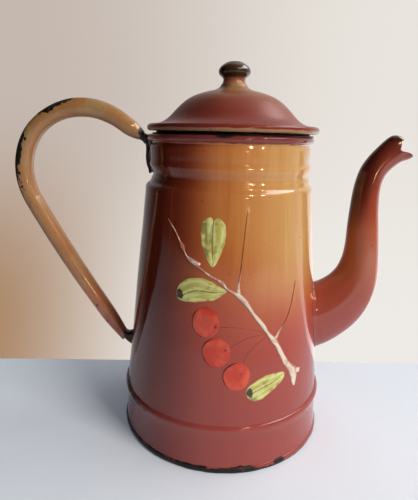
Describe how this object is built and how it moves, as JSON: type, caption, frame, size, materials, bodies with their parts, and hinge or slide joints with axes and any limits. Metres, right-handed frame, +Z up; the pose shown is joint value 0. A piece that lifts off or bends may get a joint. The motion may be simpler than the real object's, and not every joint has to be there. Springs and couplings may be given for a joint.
{
  "type": "coffee percolator",
  "caption": "Enamelled coffee percolator: tapered pot, gooseneck spout, loop handle, lift-off knobbed lid and a pump, basket and spreader insert.",
  "frame": {"origin": "centre of the flat underside of the base, on the pot's axis", "axes": "+Z up along the pot's axis, +X toward the spout, handle toward -X"},
  "size_m": [0.2608, 0.14, 0.2428],
  "materials": {
    "enamel_body": "glossy vitreous enamel shading from ochre at the neck to dull rose maroon at the foot",
    "enamel_spout": "glossy maroon brown vitreous enamel",
    "enamel_lid": "glossy maroon brown vitreous enamel fading to olive at the top",
    "enamel_knob": "glossy olive brown vitreous enamel, chipped on top",
    "enamel_handle": "glossy tan enamel with black chips",
    "worn_iron": "black ground enamel worn to the iron",
    "rivet_steel": "plain steel",
    "spun_aluminium": "satin spun aluminium",
    "drawn_aluminium": "satin drawn aluminium"
  },
  "bodies": {
    "pot": {"base_disc": "worn_iron", "foot_band": "enamel_body", "body_cone": "enamel_body", "neck_ring": "enamel_body", "spout_left": "enamel_spout", "spout_right": "enamel_spout", "handle_tube": "enamel_handle", "handle_top_bracket": "worn_iron", "handle_bottom_bracket": "worn_iron"},
    "pump": {"pump_foot": "spun_aluminium", "pump_tube": "drawn_aluminium", "basket_stop": "drawn_aluminium"},
    "valve": {"pump_valve": "drawn_aluminium"},
    "basket": {"coffee_basket": "spun_aluminium", "basket_sleeve": "drawn_aluminium"},
    "spreader": {"spreader_plate": "spun_aluminium"},
    "lid": {"lid_dome": "enamel_lid", "lid_collar": "enamel_lid", "lid_knob": "enamel_knob", "knob_rivet": "rivet_steel"}
  },
  "joints": [
    {"name": "pump_lift", "type": "slide", "parent": "pot", "child": "pump", "axis": [0, 0, 1], "range_m": [0, 0.2]},
    {"name": "basket_lift", "type": "slide", "parent": "pump", "child": "basket", "axis": [0, 0, 1], "range_m": [0, 0.09]},
    {"name": "spreader_lift", "type": "slide", "parent": "basket", "child": "spreader", "axis": [0, 0, 1], "range_m": [0, 0.045]},
    {"name": "lid_lift", "type": "slide", "parent": "spreader", "child": "lid", "axis": [0, 0, 1], "range_m": [0, 0.08]},
    {"name": "valve_lift", "type": "slide", "parent": "pump", "child": "valve", "axis": [0, 0, 1], "range_m": [0, 0.002]}
  ]
}
